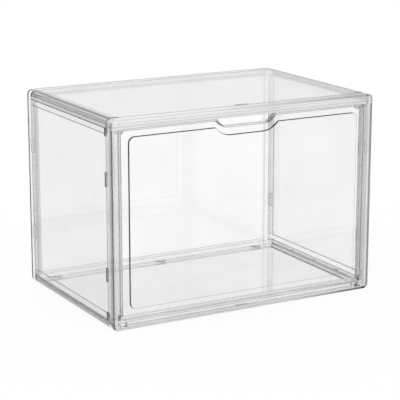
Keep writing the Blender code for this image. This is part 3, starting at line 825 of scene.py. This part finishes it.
moulding("bottom_panel", PANEL_ROUND_MM,
         sheet=("#EFEFEF", "#EBEBEB"), rim=("#FCFCFC", "#F8F8F8"), edge=("#FCFCFC", "#F8F8F8"),
         bands=[("rim", OUTER_SIDES, "#E4E4E4"), ("rim", FRONT_FOOT, "#F4F4F4"),
                ("edge", OUTER_SIDES, "#A8A8A8"), ("edge", FRONT_FOOT, "#F0F0F0"),
                ("rim edge", LOW_OUTER_SIDES, "#B4B4B4"), ("rim edge", LUGS, "#808080")])

# %% [markdown]
# The sides
#
# Each side plate has a flange at the front and the rear, lips that lie behind the top and
# the floor, and small clips. Where these overlap, their edges stack up into the bundle of
# grey lines along the top and bottom of the case, which bands of deeper grey paint in as
# shade. In the photograph the right one is a little clearer, above all along the floor, so its
# greys are paler: both are the same plastic, and the difference is painted light and shade.

# %% Side panels
ABOVE_LOW_LIP = (("ground", 16.8, 18.0),)
SIDE_EDGES = [("edge", (("top", 14.0, 11.0),), "#D0D0D0"),
              ("edge", (("ground", 14.0, 11.0),), "#C8C8C8"),
              ("edge", (("front", 20.0, 17.0),), "#A8A8A8"),
              ("edge", (("rear", 20.0, 17.0),), "#E0E0E0")]

moulding("left_side_panel", PANEL_ROUND_MM,
         sheet=("#F1F1F1", "#EEEEEE"), rim=("#E4E4E4", "#DCDCDC"), edge=("#DCDCDC", "#CCCCCC"),
         bands=SIDE_EDGES)
moulding("right_side_panel", PANEL_ROUND_MM,
         sheet=("#F6F6F6", "#F3F3F3"), rim=("#F8F8F8", "#F2F2F2"), edge=("#FAFAFA", "#F4F4F4"),
         bands=[*SIDE_EDGES, ("rim", ABOVE_LOW_LIP, "#EAEAEA"), ("edge", ABOVE_LOW_LIP, "#D8D8D8")])

# %% [markdown]
# The back
#
# The back is a tray with a return all round, and its plate is set in by a shallow step. It is
# seen through the door or a side, so it has to be nearly invisible between its edges. The
# step itself draws a thin dark frame inside the rear corners, which bands of deep grey on its
# edges paint in as shade.

# %% Back panel
STEP_DEPTH = ("rear", 5.0, 4.0)
REAR_STEP = (("side", 13.0, 12.5), ("side", 8.5, 9.0), STEP_DEPTH)
LOW_REAR_STEP = (("ground", 7.5, 8.0), ("ground", 12.5, 12.0), STEP_DEPTH)
TOP_REAR_STEP = (("top", 12.5, 12.0), ("top", 7.5, 8.0), STEP_DEPTH)
BESIDE_STEP = (("side", 12.9, 12.1), ("side", 8.9, 9.7), STEP_DEPTH)

moulding("back_panel", PANEL_ROUND_MM,
         sheet=("#FDFDFD", "#FAFAFA"), rim=("#FCFCFC", "#F8F8F8"), edge=("#E4E4E4", "#D8D8D8"),
         bands=[("edge", OUTER_SIDES, "#D8D8D8"), ("edge", REAR_STEP, "#606060"),
                ("edge", LOW_REAR_STEP, "#606060"), ("edge", TOP_REAR_STEP, "#909090"),
                ("sheet rim edge", BESIDE_STEP, "#E4E4E4")])

# %% [markdown]
# The roots of the lugs
#
# On the floor in front of the rear flange, each lug starts from a half-oval step, less than
# a millimetre high. It is a small separate piece here: a half ring of points, closed and
# pulled up, that sits a hair above the floor plate. Its top is polished and its low wall is
# dark, because that wall turns the light of the white ground away.

# %% Roots of the lugs
LUG_INSET_MM = 30.0
LUG_PLACES_MM = {"left": LEFT / MM + LUG_INSET_MM, "middle": 0.0,
                 "right": RIGHT / MM - LUG_INSET_MM}
LUG_WIDTH_MM = 14.0
LUG_REACH_MM = 7.0
LUG_HEIGHT_MM = 0.9
FLOOR_TOP_MM = 5.0
HAIR_MM = 0.02
LUG_SEAT_MM = FLOOR_TOP_MM + HAIR_MM
FLANGE_FROM_REAR_MM = 12.7
LUG_BACK_MM = REAR / MM - FLANGE_FROM_REAR_MM
LUG_STEPS = 16
WALL_CORNERS = 4
LUG_FACE = polished_polystyrene("lug_root_face", ("#F6F6F6", "#F0F0F0"))
LUG_SIDE = unpolished_edges_painted_shade("lug_root_side", ("#484848", "#383838"))


def lug_root(name, middle_mm):
    """Shallow half-oval step on the floor, with its flat side at the rear flange."""
    mesh = bmesh.new()
    angles = [math.pi * step / LUG_STEPS for step in range(LUG_STEPS + 1)]
    outline = [Vector((middle_mm - LUG_WIDTH_MM / 2 * math.cos(angle),
                       LUG_BACK_MM - LUG_REACH_MM * math.sin(angle), LUG_SEAT_MM)) * MM
               for angle in angles]
    base = mesh.faces.new([mesh.verts.new(point) for point in outline])
    raised = bmesh.ops.extrude_face_region(mesh, geom=[base])["geom"]
    bmesh.ops.translate(mesh, vec=(0, 0, LUG_HEIGHT_MM * MM),
                        verts=[part for part in raised if isinstance(part, bmesh.types.BMVert)])
    bmesh.ops.recalc_face_normals(mesh, faces=mesh.faces)
    for face in mesh.faces:
        face.material_index = 0 if len(face.verts) > WALL_CORNERS else 1
    piece = place_mesh(f"lug_root_{name}", mesh)
    piece.data.materials.append(LUG_FACE)
    piece.data.materials.append(LUG_SIDE)
    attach(piece, "case")
    print(f"lug_root_{name}: {LUG_WIDTH_MM:.0f} mm wide, at {middle_mm:.1f} mm")


for lug_name, lug_place in LUG_PLACES_MM.items():
    lug_root(lug_name, lug_place)

# %% [markdown]
# A white sweep
#
# The photograph's ground and backdrop are one white sheet. The floor is white paper that
# shines at a strength of 1 to the camera and in what the plastic shows, so the ground is
# even there. The last 6% of it stays plain lit paper, which keeps the case's soft shadow.

# %% Floor
FLOOR_SIZE = 12.0
FLOOR_GAP_MM = 0.2
GLOWING_SHARE = 0.94


def seen_directly_or_in_plastic(tree):
    """1 for rays from the camera, and for reflected and refracted ones."""
    path = add_node(tree, "ShaderNodeLightPath")
    seen = path.outputs["Is Camera Ray"]
    for kind in ("Is Glossy Ray", "Is Transmission Ray"):
        seen = add_node(tree, "ShaderNodeMath", {"operation": "MAXIMUM"},
                        links={0: seen, 1: path.outputs[kind]}).outputs["Value"]
    return seen


def add_floor():
    """Sheet of white paper under the case."""
    mesh = bmesh.new()
    bmesh.ops.create_grid(mesh, x_segments=1, y_segments=1, size=FLOOR_SIZE / 2)
    floor = place_mesh("floor", mesh)
    floor.location.z = GROUND - FLOOR_GAP_MM * MM
    material = bpy.data.materials.new("white_paper_sweep")
    tree = empty_network(material)
    share = add_node(tree, "ShaderNodeMath", {"operation": "MULTIPLY"}, {1: GLOWING_SHARE},
                     {0: seen_directly_or_in_plastic(tree)})
    paper = add_node(tree, "ShaderNodeBsdfDiffuse", values={"Color": linear("#FEFEFE")})
    glow = add_node(tree, "ShaderNodeEmission",
                    values={"Color": linear("#FFFFFF"), "Strength": 1.0})
    mix = add_node(tree, "ShaderNodeMixShader",
                   links={0: share.outputs["Value"], 1: paper.outputs["BSDF"],
                          2: glow.outputs["Emission"]})
    add_node(tree, "ShaderNodeOutputMaterial", links={"Surface": mix.outputs["Shader"]})
    floor.data.materials.append(material)
    print(f"floor: {FLOOR_SIZE:.0f} m of white paper, {FLOOR_GAP_MM} mm under the feet")


add_floor()

# %% [markdown]
# A plain studio
#
# The light is the world, even and white near the horizon, as from large soft boxes, with a
# dim ceiling above them. The ceiling is what turns the light trapped in the edges grey. The
# paper is lit as if the whole sky were white, so the ceiling doesn't dull the ground.

# %% World
SOFT_BOX_TOP = 0.3
CEILING_START = 0.7
CEILING_LIGHT = 0.1


def add_studio():
    """White world with a dim ceiling, which the light on the paper leaves out."""
    world = bpy.data.worlds.new("studio")
    bpy.context.scene.world = world
    tree = empty_network(world)
    direction = add_node(tree, "ShaderNodeTexCoord")
    parts = add_node(tree, "ShaderNodeSeparateXYZ",
                     links={"Vector": direction.outputs["Generated"]})
    ceiling = add_node(tree, "ShaderNodeMapRange", {"interpolation_type": "SMOOTHSTEP"},
                       {"From Min": SOFT_BOX_TOP, "From Max": CEILING_START,
                        "To Min": 1.0, "To Max": CEILING_LIGHT}, {"Value": parts.outputs["Z"]})
    path = add_node(tree, "ShaderNodeLightPath")
    level = add_node(tree, "ShaderNodeMath", {"operation": "MAXIMUM"},
                     links={0: ceiling.outputs["Result"], 1: path.outputs["Is Diffuse Ray"]})
    sky = add_node(tree, "ShaderNodeBackground", values={"Color": linear("#FFFFFF")},
                   links={"Strength": level.outputs["Value"]})
    add_node(tree, "ShaderNodeOutputWorld", links={"Surface": sky.outputs["Background"]})
    print(f"studio: white light, ceiling at {CEILING_LIGHT:.0%}")


add_studio()
bpy.context.scene.view_settings.view_transform = "Standard"
